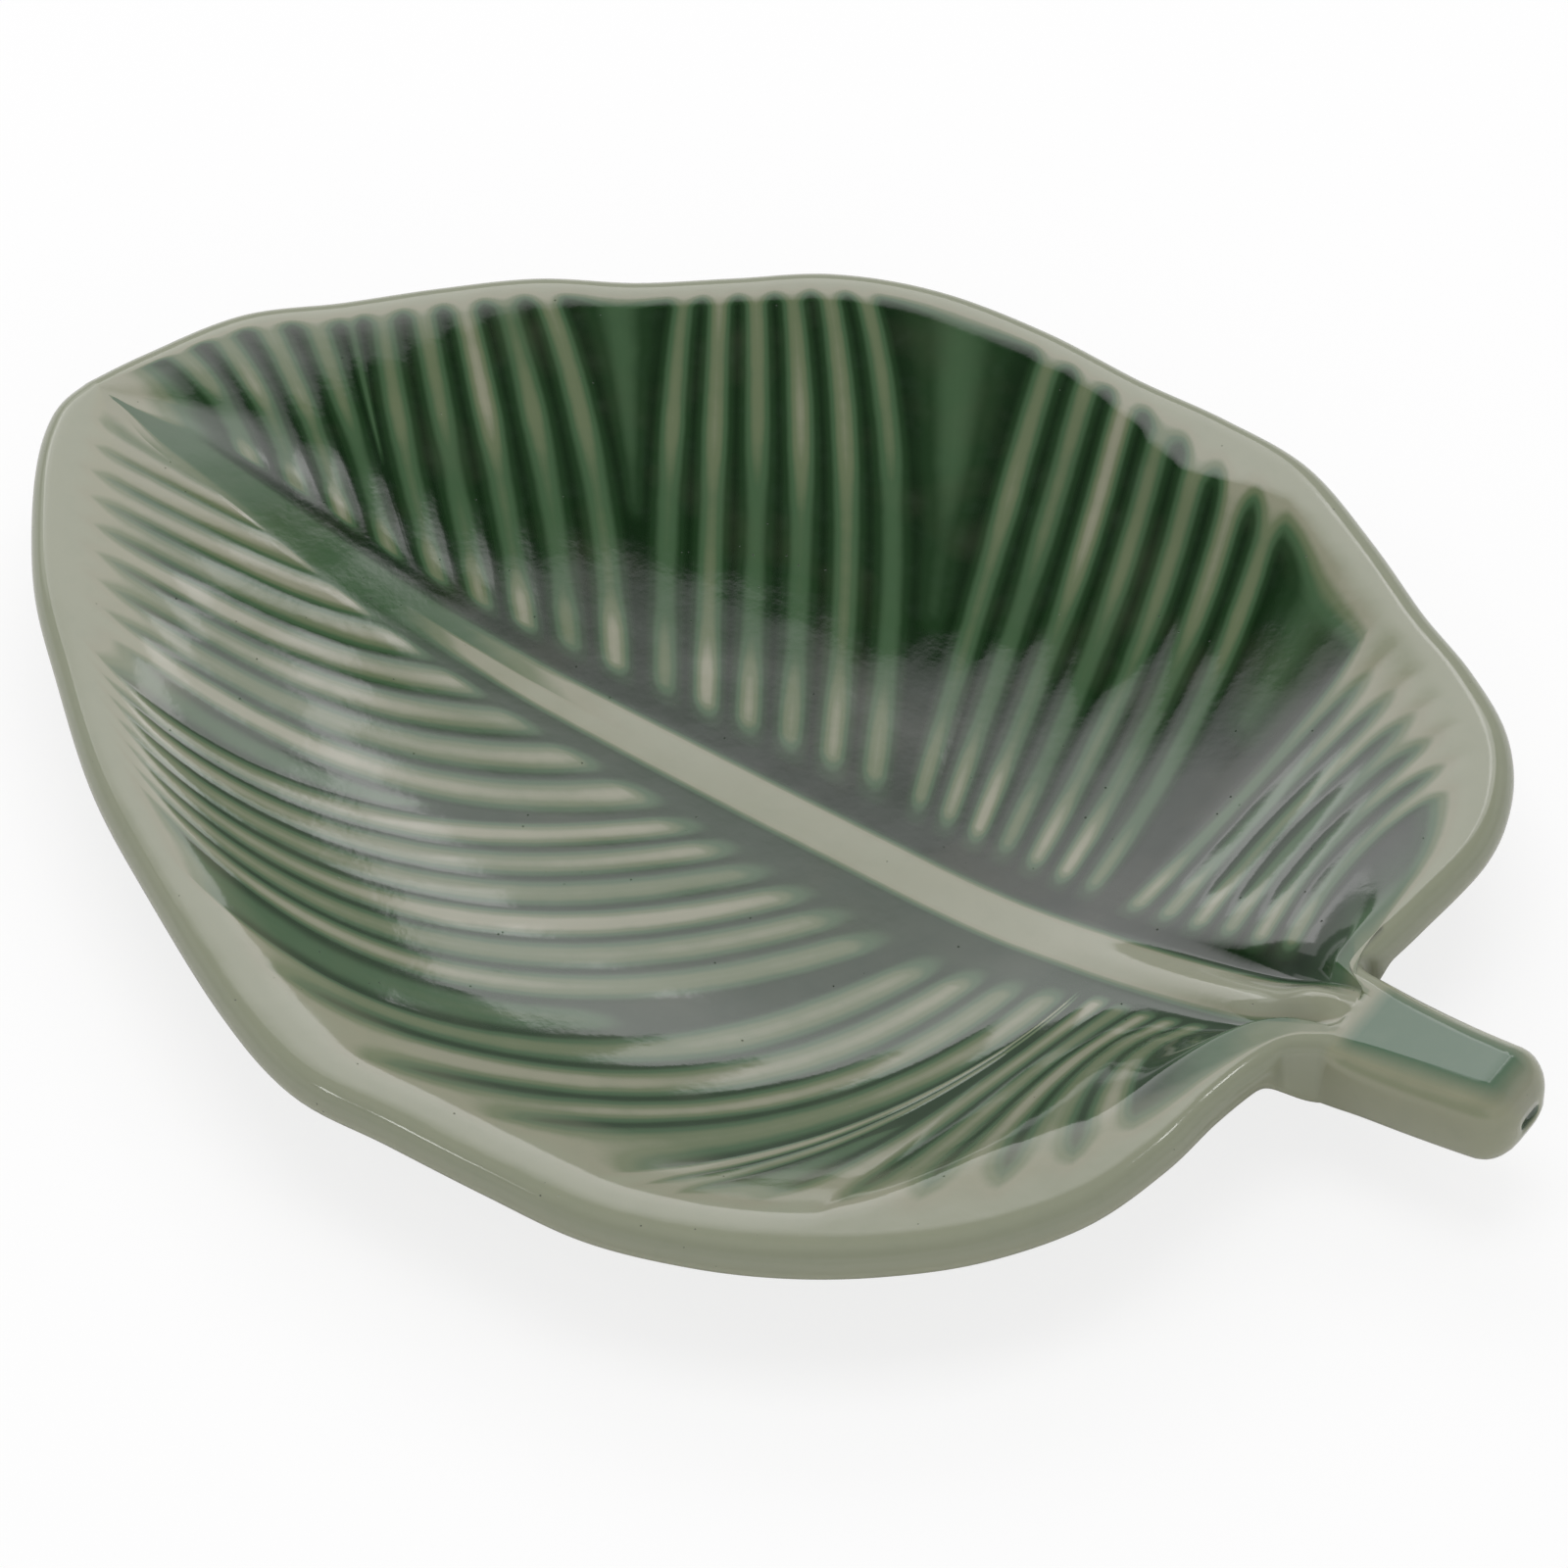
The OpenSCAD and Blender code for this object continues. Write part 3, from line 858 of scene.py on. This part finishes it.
    def _reach(self, root: np.ndarray) -> np.ndarray:
        """Half width of the midrib.

        Args:
            root: Shares along the midrib.

        Returns:
            Its half widths.
        """
        wide = self._read("midrib_half_shares", root) * rise(root, *self.midrib_start_span)
        grown = mix(self.midrib_tip_share, 1.0, ease(root / self.midrib_tip_run))
        return mix(self.landing_half, self.midrib_half, wide) * grown

    def _plan(self, side: Side, u: np.ndarray) -> np.ndarray:
        """Plan of the vein lines of one side.

        Args:
            side: Side of the leaf.
            u: Places along the lines, one row for each station.

        Returns:
            X and Y for each station and place.
        """
        st = self.stations[side]
        a, c = self._midrib(side, 1.0)[:, :2], self._rim_at(side, st.rim)
        run = c - a
        turn = side.value * np.stack([-run[:, 1], run[:, 0]], -1)
        b = a + run * st.along[:, None] + turn * st.aside[:, None]
        u = u[..., None]
        return (1 - u) ** 2 * a[:, None] + 2 * u * (1 - u) * b[:, None] + u ** 2 * c[:, None]

    def _to_rim(self, side: Side, plan: np.ndarray) -> tuple[np.ndarray, np.ndarray]:
        """Find the nearest point of the rim's crest.

        Away from the rim, the distance is rounded by the pull of the whole crest, which falls
        with its 8th power, so that no crease runs in from where the rim turns.

        Args:
            side: Side of the leaf.
            plan: X and Y of points on that side.

        Returns:
            The distances, and the X of the nearest points.
        """
        curve = self.rims[side][1]
        start, run = curve[:-1], np.diff(curve, axis=0)
        away = np.full(plan.shape[:-1], np.inf)
        place = np.zeros(plan.shape[:-1])
        pull = np.zeros(plan.shape[:-1])
        for a, b in zip(start, run):
            along = np.clip(((plan - a) @ b) / (b @ b), 0, 1)
            near = a + along[..., None] * b
            gap = np.linalg.norm(plan - near, axis=-1)
            place = np.where(gap < away, near[..., 0], place)
            away = np.minimum(away, gap)
            pull += np.linalg.norm(b) / np.maximum(np.sum((plan - a - b / 2) ** 2, -1), 1e-6) ** 4
        rounded = (pull / self.straight_pull) ** (-1 / 7)
        return mix(away, rounded, rise(away, *self.round_span)), place

    def _floor(self, x: np.ndarray) -> np.ndarray:
        """Height of the bowl beside the midrib."""
        depth = (self.dish_depth - self.vein_relief) * self._read("depth_shares", self._root_at(x))
        return self._crest_z(x) - depth

    def _root_at(self, x: np.ndarray) -> np.ndarray:
        """Share along the midrib."""
        return np.clip((x - self.tip_inset) / (self.blade_length - self.tip_inset), 0, 1)

    def _bowl(self, side: Side, plan: np.ndarray) -> np.ndarray:
        """Height of the bowl without its veins.

        Args:
            side: Side of the leaf.
            plan: X and Y of points on that side.

        Returns:
            Their heights.
        """
        x = plan[..., 0]
        root = self._root_at(x)
        along = x / self.blade_length
        to_rim, rim_x = self._to_rim(side, plan)
        to_rim = np.maximum(0, to_rim - self._read(side.name.lower() + "_ledge", along))
        to_midrib = np.maximum(0, side.value * (plan[..., 1] - self._midrib_y(x)) - self._reach(root))
        up = to_midrib / np.maximum(to_midrib + to_rim, 1e-6)
        low, high = self._floor(x), self._crest_z(rim_x)
        if side is Side.NEAR:
            return mix(low, high, self._read("wall_shares", up))
        up = up ** self._read("far_lean", along)
        gentle = rise(along, *self.gentle_span) * self.gentle_share
        wall = mix(self._read("wall_shares", up), 1 - (1 - up) ** self.gentle_power, gentle)
        hollow = self.tip_hollow * ease(root / self.hollow_start_share)
        hollow = hollow * (1 - rise(root, *self.hollow_end))
        return mix(low - hollow * ease(up / self.hollow_across_share), high, wall)

    def _groove(self, side: Side, u: np.ndarray) -> np.ndarray:
        """Share of the relief that is cut away along the lines.

        Args:
            side: Side of the leaf.
            u: Places on the lines.

        Returns:
            1 in a groove and 0 on a crest.
        """
        st = self.stations[side]
        wave = np.sin(math.pi * st.across)
        across = np.where(st.cleft > 0, wave, wave ** self.vein_power)
        run = np.where(st.cleft > 0, self.cleft_run, self.vein_run)
        up = ease((u - st.start[:, None]) / run[:, None])
        band = ease((u - self.band[side]) / self.band_run)
        return (1 - band) * (1 - (st.height * across)[:, None] * up)

    def _flatness(self, root: np.ndarray) -> np.ndarray:
        """How much of the relief is left towards the landing and the tip."""
        return ease((1 - root) / self.flat_landing_run) * ease(root / self.flat_tip_run)

    def _neck(self, side: Side) -> np.ndarray:
        """Share by which the rim has deepened into the stalk's side."""
        return rise(self.stations[side].rim, self.neck_from, 1.0)

    def _outward(self, side: Side) -> np.ndarray:
        """Outward direction of the rim in plan.

        Args:
            side: Side of the leaf.

        Returns:
            One direction for each section, sideways at the stalk.
        """
        s, step = self.stations[side].rim, 0.004
        t = self._rim_at(side, np.minimum(1, s + step)) - self._rim_at(side, np.maximum(0, s - step))
        free = side.value * np.stack([-t[:, 1], t[:, 0]], -1) / np.linalg.norm(t, axis=1)[:, None]
        out = mix(free, np.array([[0.0, side.value]]), self._neck(side)[:, None])
        return out / np.linalg.norm(out, axis=1)[:, None]

    def _from_foot(self, p: np.ndarray) -> np.ndarray:
        """Distance from the foot ring's outline.

        Args:
            p: Points in plan.

        Returns:
            Their distances, below 0 inside the outline.
        """
        straight = (self.foot_length - self.foot_width) / 2
        dx = np.maximum(0, np.abs(p[..., 0] - self.foot_place_share * self.blade_length) - straight)
        return np.hypot(dx, p[..., 1]) - self.foot_width / 2

    def _under(self, side: Side, p: np.ndarray) -> np.ndarray:
        """Height of the underside.

        Args:
            side: Side of the leaf.
            p: Points in plan.

        Returns:
            Their heights.
        """
        tall = mix(self.wall, self.stalk_height, self._neck(side))[:, None]
        free = np.maximum(self.seat_z, self._bowl(side, p) - tall)
        return mix(self.seat_z, free, ease((self._from_foot(p) - self.seat_lip) / self.seat_blend))

    def _half(self, side: Side) -> tuple[np.ndarray, dict[str, np.ndarray]]:
        """Points of one side of every section, from the midrib over the rim and back.

        Args:
            side: Side of the leaf.

        Returns:
            The points, and the marks that the glaze reads.
        """
        st = self.stations[side]
        u = np.tile(np.linspace(0, 1, self.line_steps + 1), (len(st.root), 1))
        plan = self._plan(side, u)
        groove = self._groove(side, u)
        flat = self._flatness(st.root)[:, None]
        top_z = self._bowl(side, plan) - self.glaze_relief * flat * groove
        top = np.concatenate([plan, top_z[..., None]], -1)
        shoulders = [self._midrib(side, k / self.shoulder_steps) for k in range(1, self.shoulder_steps)]
        crest, out = self._rim_at(side, st.rim), self._outward(side)
        z0 = self._crest_z(crest[:, 0])
        tall = mix(self.wall, self.stalk_height, self._neck(side))
        r = self.rim_radius
        edges = []
        for k in range(1, self.edge_steps + 1):
            angle = math.pi * k / self.edge_steps
            xy = crest + out * r * math.sin(angle)
            drop = -r if angle < math.pi / 2 else r - tall
            edges.append(np.column_stack([xy, z0 + drop + r * math.cos(angle)]))
        edge_u = self._seat_edge(side)
        back = np.linspace(1, 0, self.under_steps + 1)[1:]
        under_u = mix(edge_u[:, None], 1.0, back[None, :])
        under_plan = self._plan(side, under_u)
        under = np.concatenate([under_plan, self._under(side, under_plan)[..., None]], -1)
        points = np.concatenate([np.stack(shoulders, 1), top, np.stack(edges, 1), under], 1)
        return points, self._marks(side, u, flat, points.shape[1])

    def _seat_edge(self, side: Side) -> np.ndarray:
        """Find where the underside leaves the flat seat.

        Args:
            side: Side of the leaf.

        Returns:
            One place on each line.
        """
        low = np.zeros(len(self.stations[side].root))
        high = np.ones_like(low)
        for _ in range(12):
            mid = (low + high) / 2
            inside = self._from_foot(self._plan(side, mid[:, None]))[:, 0] < self.seat_lip
            low, high = np.where(inside, mid, low), np.where(inside, high, mid)
        return np.maximum(low, self.seat_least_share)

    def _marks(self, side: Side, u: np.ndarray, flat: np.ndarray, size: int) -> dict[str, np.ndarray]:
        """Where the glaze pools, turns olive, carries the painted top reflection, or is pitted.

        Args:
            side: Side of the leaf.
            u: Places on the lines.
            flat: Share of the relief left towards the landing.
            size: Points in one half section.

        Returns:
            Named numbers for every point.
        """
        look = POOLS[side]
        root = self.stations[side].root
        shoulders = self.shoulder_steps - 1
        crest = mix(look.crest_by_midrib, look.crest_by_rim, rise(u, *look.crest_span))
        crest = crest - look.pale_root * (1 - rise(u, *look.pale_root_span))
        by_stalk = sum(
            step * rise(root, *span) for step, span in zip(self.stalk_end_steps, self.stalk_end_spans))
        fade = [mix(*ends, by_stalk[:, None]) for ends in zip(look.fade, look.stalk_end_fade)]
        tip = mix(look.tip_share, 1.0, ease(root / look.tip_run))[:, None]
        pool = mix(look.groove, crest, self._ridges(side, u))
        pool = pool * (1 - rise(u, *fade)) * mix(look.landing_share, 1.0, flat) * tip
        marks = {name: np.zeros((len(root), size)) for name in ("pool", "olive", "teal", "pitted")}
        top = slice(shoulders, shoulders + u.shape[1])
        marks["pool"][:, top] = pool
        on_midrib = mix(*self.midrib_pool, rise(root, *self.midrib_pool_span))
        for k in range(shoulders):
            share = rise((k + 1) / self.shoulder_steps, *self.midrib_edge_span)
            marks["pool"][:, k] = mix(on_midrib, pool[:, 0], share)
        edge = slice(top.stop, top.stop + self.edge_steps)
        angle = np.linspace(0, 1, self.edge_steps)[None, :]
        marks["olive"][:, top] = look.olive * rise(u, *look.olive_rise) * (1 - rise(u, *look.olive_fall))
        marks["olive"][:, edge] = self.edge_olive * rise(angle, *self.edge_olive_span)
        marks["olive"][:, edge.stop:] = self.under_olive
        return marks

    def _ridges(self, side: Side, u: np.ndarray) -> np.ndarray:
        """How near each point is to the crest of a vein, no two veins quite alike.

        Args:
            side: Side of the leaf.
            u: Places on the lines.

        Returns:
            1 on a crest and 0 in a groove.
        """
        st, look = self.stations[side], POOLS[side]
        number = np.cumsum(np.diff(st.across, prepend=0.0) < 0)[:, None]
        wave = np.sin(math.pi * st.across)[:, None] ** look.sharpness
        first = np.where(st.cleft > 0, st.start, look.first)[:, None]
        lit = st.height[:, None] * wave * ease((u - first) / look.first_run)
        each = 0.9 + 0.1 * np.cos(2.4 * number)
        within = 0.92 + 0.08 * np.sin(7 * u + 1.9 * number)
        return lit * each * within

    def _sections(self) -> tuple[np.ndarray, dict[str, np.ndarray]]:
        """Closed sections of the blade from the tip to the landing.

        Returns:
            The points, with the first repeated at the end of each section, and the marks.
        """
        far, far_marks = self._half(Side.FAR)
        near, near_marks = self._half(Side.NEAR)
        ridge = self._midrib(Side.FAR, 0.0)[:, None]
        x, y = ridge[:, 0, 0], ridge[:, 0, 1]
        under = np.stack([x, y, (far[:, -1, 2] + near[:, -1, 2]) / 2], -1)[:, None]
        points = np.concatenate([ridge, far, under, near[:, ::-1], ridge], 1)
        points[0] = (points[0] + points[0, ::-1]) / 2
        zero = np.zeros((len(x), 1))
        marks = {}
        for name in far_marks:
            below = zero + (self.under_olive if name == "olive" else 0.0)
            above = far_marks[name][:, :1]
            marks[name] = np.concatenate(
                [above, far_marks[name], below, near_marks[name][:, ::-1], above], 1)
        return points, marks

    def _stalk(
            self, landing: np.ndarray, marks: Sequence[str]) -> tuple[np.ndarray, dict[str, np.ndarray]]:
        """Sections of the stalk, its rounded end and the dimple in the end face.

        Args:
            landing: Last section of the blade.
            marks: Names of the marks.

        Returns:
            The points and their marks.
        """
        body = self.stalk_length - self.stalk_round
        edge = np.pi * np.arange(1, self.edge_steps + 1) / self.edge_steps
        above, below = np.zeros(self.shoulder_steps + self.line_steps), np.full(self.under_steps, np.pi)
        half_turn = np.concatenate([above, edge, below])
        turn = np.concatenate([[0.0], half_turn, [np.pi], half_turn[::-1], [0.0]])
        local_y = landing[:, 1] - self.stalk_shift
        sign = np.sign(local_y)
        across = np.clip(np.abs(local_y) / (self.stalk_width / 2 - self.rim_radius), 0, 1)
        glaze = StalkPools()
        rows: list[np.ndarray] = []
        tags: dict[str, list[np.ndarray]] = {name: [] for name in marks}

        def add(x: float, place: float, inset: float, left: float = 1.0, share: float = 0.0) -> None:
            """Keep one section.

            Args:
                x: Distance from the landing.
                place: Place on the stalk's tables.
                inset: Distance that the section is drawn in by the rounded end.
                left: Share of the drawn-in section that is left on the end face.
                share: Place for the glaze, from 0 at the landing to 1 at the end.
            """
            wide, high, grown = (float(self._read("stalk_shares", place, k)) for k in (1, 2, 3))
            r = mix(self.rim_radius, self.stalk_corner, grown)
            half, tall = self.stalk_width / 2 * wide, self.stalk_height * high
            top = self.stalk_rise * place ** 2
            y = sign * (across * (half - r) + r * np.sin(turn))
            z = np.where(turn <= math.pi / 2 + 1e-6, -r, r - tall) + r * np.cos(turn)
            y = y * (1 - inset / half) * left
            z = (z + tall / 2) * (1 - inset / (tall / 2)) * left
            dent = self.dimple_depth * ease(1 - np.hypot(y, z) / self.dimple_radius) * (left < 1)
            x_all = self.blade_length + x - dent
            rows.append(np.stack([x_all, self.stalk_shift + y, top - tall / 2 + z], -1))
            for name, mark in glaze.marks(turn, y, z, share, left < 1).items():
                tags[name].append(mark)

        for k in range(1, self.stalk_rows + 1):
            share = k / self.stalk_rows
            add(body * share, share, 0.0, share=share * self.stalk_side_share)
        for k in range(1, self.round_rows + 1):
            angle = math.pi / 2 * k / self.round_rows
            inset = self.stalk_round * (1 - math.cos(angle))
            share = mix(self.stalk_side_share, 1.0, k / self.round_rows)
            add(body + self.stalk_round * math.sin(angle), 1.0, inset, share=share)
        for k in range(1, self.face_rows + 1):
            add(self.stalk_length, 1.0, self.stalk_round, left=1 - k / self.face_rows, share=1.0)
        return np.stack(rows), {name: np.stack(value) for name, value in tags.items()}

    def build(self) -> bpy.types.Object:
        """Make the mesh.

        Returns:
            The object of the blade and the stalk.
        """
        blade, marks = self._sections()
        stalk, stalk_marks = self._stalk(blade[-1], list(marks))
        points = np.concatenate([blade, stalk])
        points = (points + self._offset()) * MM
        rows, columns = points.shape[:2]
        bm = bmesh.new()
        bmesh.ops.create_grid(bm, x_segments=columns - 1, y_segments=rows - 1, size=1.0)
        layers = {name: bm.verts.layers.float.new(name) for name in marks}
        values = {name: np.concatenate([marks[name], stalk_marks[name]]).ravel() for name in marks}
        for index, (vert, place) in enumerate(zip(bm.verts, points.reshape(-1, 3))):
            vert.co = place
            for name, layer in layers.items():
                vert[layer] = values[name][index]
        bmesh.ops.remove_doubles(bm, verts=bm.verts, dist=2e-6)
        bmesh.ops.dissolve_degenerate(bm, edges=bm.edges, dist=1e-7)
        bmesh.ops.recalc_face_normals(bm, faces=bm.faces)
        for face in bm.faces:
            face.smooth = True
        return shape("glazed_dish", bm)

    def _offset(self) -> np.ndarray:
        """Move from the leaf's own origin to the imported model's frame.

        Returns:
            The move in millimetres.
        """
        low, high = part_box("stalk")
        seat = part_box("foot_ring")[1].z
        middle_y = (low.y + high.y) / 2
        return np.array([
            low.x / MM - self.blade_length, middle_y / MM - self.stalk_shift, seat / MM - self.seat_z])

    def dress(self, made: bpy.types.Object) -> None:
        """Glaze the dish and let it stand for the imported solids.

        Args:
            made: Object of the blade and the stalk.
        """
        made.data.materials.append(CeladonGlaze().build())
        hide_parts("leaf_blade", "stalk")
        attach(made, "root")


@dataclass
class FootRing:
    """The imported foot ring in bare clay."""

    node: str = "foot_ring"

    def dress(self) -> bpy.types.Object:
        """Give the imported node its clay.

        Returns:
            The node's object.
        """
        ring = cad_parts[self.node]
        clay = BareClay().build()
        ring.data.materials.clear()
        ring.data.materials.append(clay)
        return ring


@dataclass(frozen=True)
class SoftBox:
    """One soft lamp, placed by the direction that it stands in as seen from the dish.

    Its light dims towards its upper edge, from 1 to the top share.
    """

    name: str
    azimuth: float
    elevation: float
    distance: float
    width: float
    height: float
    radiance: float
    roll: float = 0.0
    top_share: float = 1.0
    tint: Colour = (1.0, 1.0, 1.0)
    mirrored: bool = True
    fade_span: Span = (0.70, 1.0)

    def build(self) -> bpy.types.Object:
        """Make the lamp.

        Returns:
            The lamp's object.
        """
        light = bpy.data.lights.new(self.name, "AREA")
        light.shape = "RECTANGLE"
        light.size = self.width
        light.size_y = self.height
        light.energy = self.radiance * math.pi * self.width * self.height
        light.use_nodes = True
        sh = Shader(light.node_tree)
        place = sh.node("SeparateXYZ", Vector=sh.node("NewGeometry").outputs["Parametric"])
        fade = sh.value(place, "Y").over(*self.fade_span)
        glow = sh.node("Emission", Color=self.tint, Strength=1.0 - fade * (1.0 - self.top_share))
        sh.node("OutputLight", Surface=glow.outputs[0])
        made = put(self.name, light)
        az, el = math.radians(self.azimuth), math.radians(self.elevation)
        away = Vector((math.cos(el) * math.cos(az), math.cos(el) * math.sin(az), math.sin(el)))
        turn = away.to_track_quat("Z", "Y").to_matrix().to_4x4()
        made.matrix_world = Matrix.Translation(away * self.distance) @ turn @ Matrix.Rotation(
            math.radians(self.roll), 4, "Z")
        made.visible_glossy = self.mirrored
        return made


@dataclass
class Studio:
    """Floor, lamps, surroundings and camera."""

    floor_size: float = 6.0
    lens: float = 270.0
    sensor: float = 36.0
    camera_place: Colour = (0.46343, -0.7193, 0.8655)
    camera_target: Colour = (0.0045, -0.005585, 0.017)
    horizon_span: Span = (0.08, 0.14)
    horizon_white: float = 0.5
    middle_span: Span = (0.55, 0.70)
    middle_white: float = 0.42
    box_top: Colour = (0.504, -0.6455, 0.5736)
    box_top_span: Span = (0.05, 0.12)
    box_top_white: float = 0.08
    room_white: float = 0.45
    lamps: tuple[SoftBox, ...] = (
        SoftBox("back_box", 139.6, 40.5, 1.2, 1.06, 0.56, 2.25, -9.4, 0.42, (1.0, 0.96, 1.0)),
        SoftBox("top_box", 125.0, 88.0, 1.2, 0.9, 0.62, 3.0, mirrored=False),
        SoftBox("front_fill", 315.0, 25.0, 1.2, 0.8, 0.5, 1.2, mirrored=False),
        SoftBox("side_box", 103.0, 44.8, 1.347, 0.26, 0.34, 2.2, 18.0, 0.45, (1.0, 0.96, 1.0)),
        SoftBox("low_box", 156.0, 24.0, 1.2, 0.72, 0.284, 0.9),
        SoftBox("left_spot", 226.0, 50.0, 1.2, 0.14, 0.10, 9.0),
        SoftBox("right_spot", 76.0, 58.0, 1.2, 0.10, 0.05, 10.0),
    )

    def build(self) -> None:
        """Make the studio."""
        self._floor()
        for lamp in self.lamps:
            lamp.build()
        self._surroundings()
        self._camera()

    def _floor(self) -> None:
        """Lay the floor."""
        bm = bmesh.new()
        bmesh.ops.create_grid(bm, x_segments=1, y_segments=1, size=self.floor_size / 2)
        floor = shape("floor", bm)
        floor.data.materials.append(StudioPaper().build())

    def _surroundings(self) -> None:
        """White around the horizon, dim overhead between the lamps."""
        world = bpy.context.scene.world or bpy.data.worlds.new("studio")
        bpy.context.scene.world = world
        world.use_nodes = True
        sh = Shader(world.node_tree)
        path = sh.node("LightPath")
        camera = sh.value(path, "Is Camera Ray")
        glossy = (sh.value(path, "Is Glossy Ray") + sh.value(path, "Is Transmission Ray")).clamp()
        direction = sh.node("SeparateXYZ", Vector=sh.node("TexCoord").outputs["Generated"])
        east, north, up = (sh.value(direction, axis) for axis in "XYZ")
        horizon = 1.0 - up.over(*self.horizon_span)
        middle = 1.0 - up.over(*self.middle_span)
        past_box = east * self.box_top[0] + north * self.box_top[1] + up * self.box_top[2]
        past_box = past_box.over(*self.box_top_span)
        seen = horizon * self.horizon_white + middle * self.middle_white + past_box * self.box_top_white
        strength = camera + (1.0 - camera) * (glossy * seen + (1.0 - glossy) * self.room_white)
        sky = sh.node("Background", Color=(1.0, 1.0, 1.0), Strength=strength)
        sh.node("OutputWorld", Surface=sky.outputs[0])

    def _camera(self) -> None:
        """Set the camera to the view of the photograph."""
        data = bpy.data.cameras.new("camera")
        data.lens = self.lens
        data.sensor_width = self.sensor
        data.sensor_fit = "HORIZONTAL"
        data.clip_end = 20.0
        made = put("camera", data)
        place = Vector(self.camera_place)
        look = (place - Vector(self.camera_target)).to_track_quat("Z", "Y")
        made.matrix_world = Matrix.Translation(place) @ look.to_matrix().to_4x4()
        bpy.context.scene.camera = made
        bpy.context.scene.view_settings.view_transform = "Standard"


def main() -> None:
    """Build the dish and its studio, and report each piece."""
    logging.basicConfig(level=logging.INFO, format="%(name)s: %(message)s")
    dish = GlazedDish()
    skin = dish.build()
    dish.dress(skin)
    LOG.info("%s: %d faces", skin.name, len(skin.data.polygons))
    ring = FootRing().dress()
    LOG.info("%s: bare clay on the packed node", ring.name)
    Studio().build()


if __name__ == "__main__":
    main()
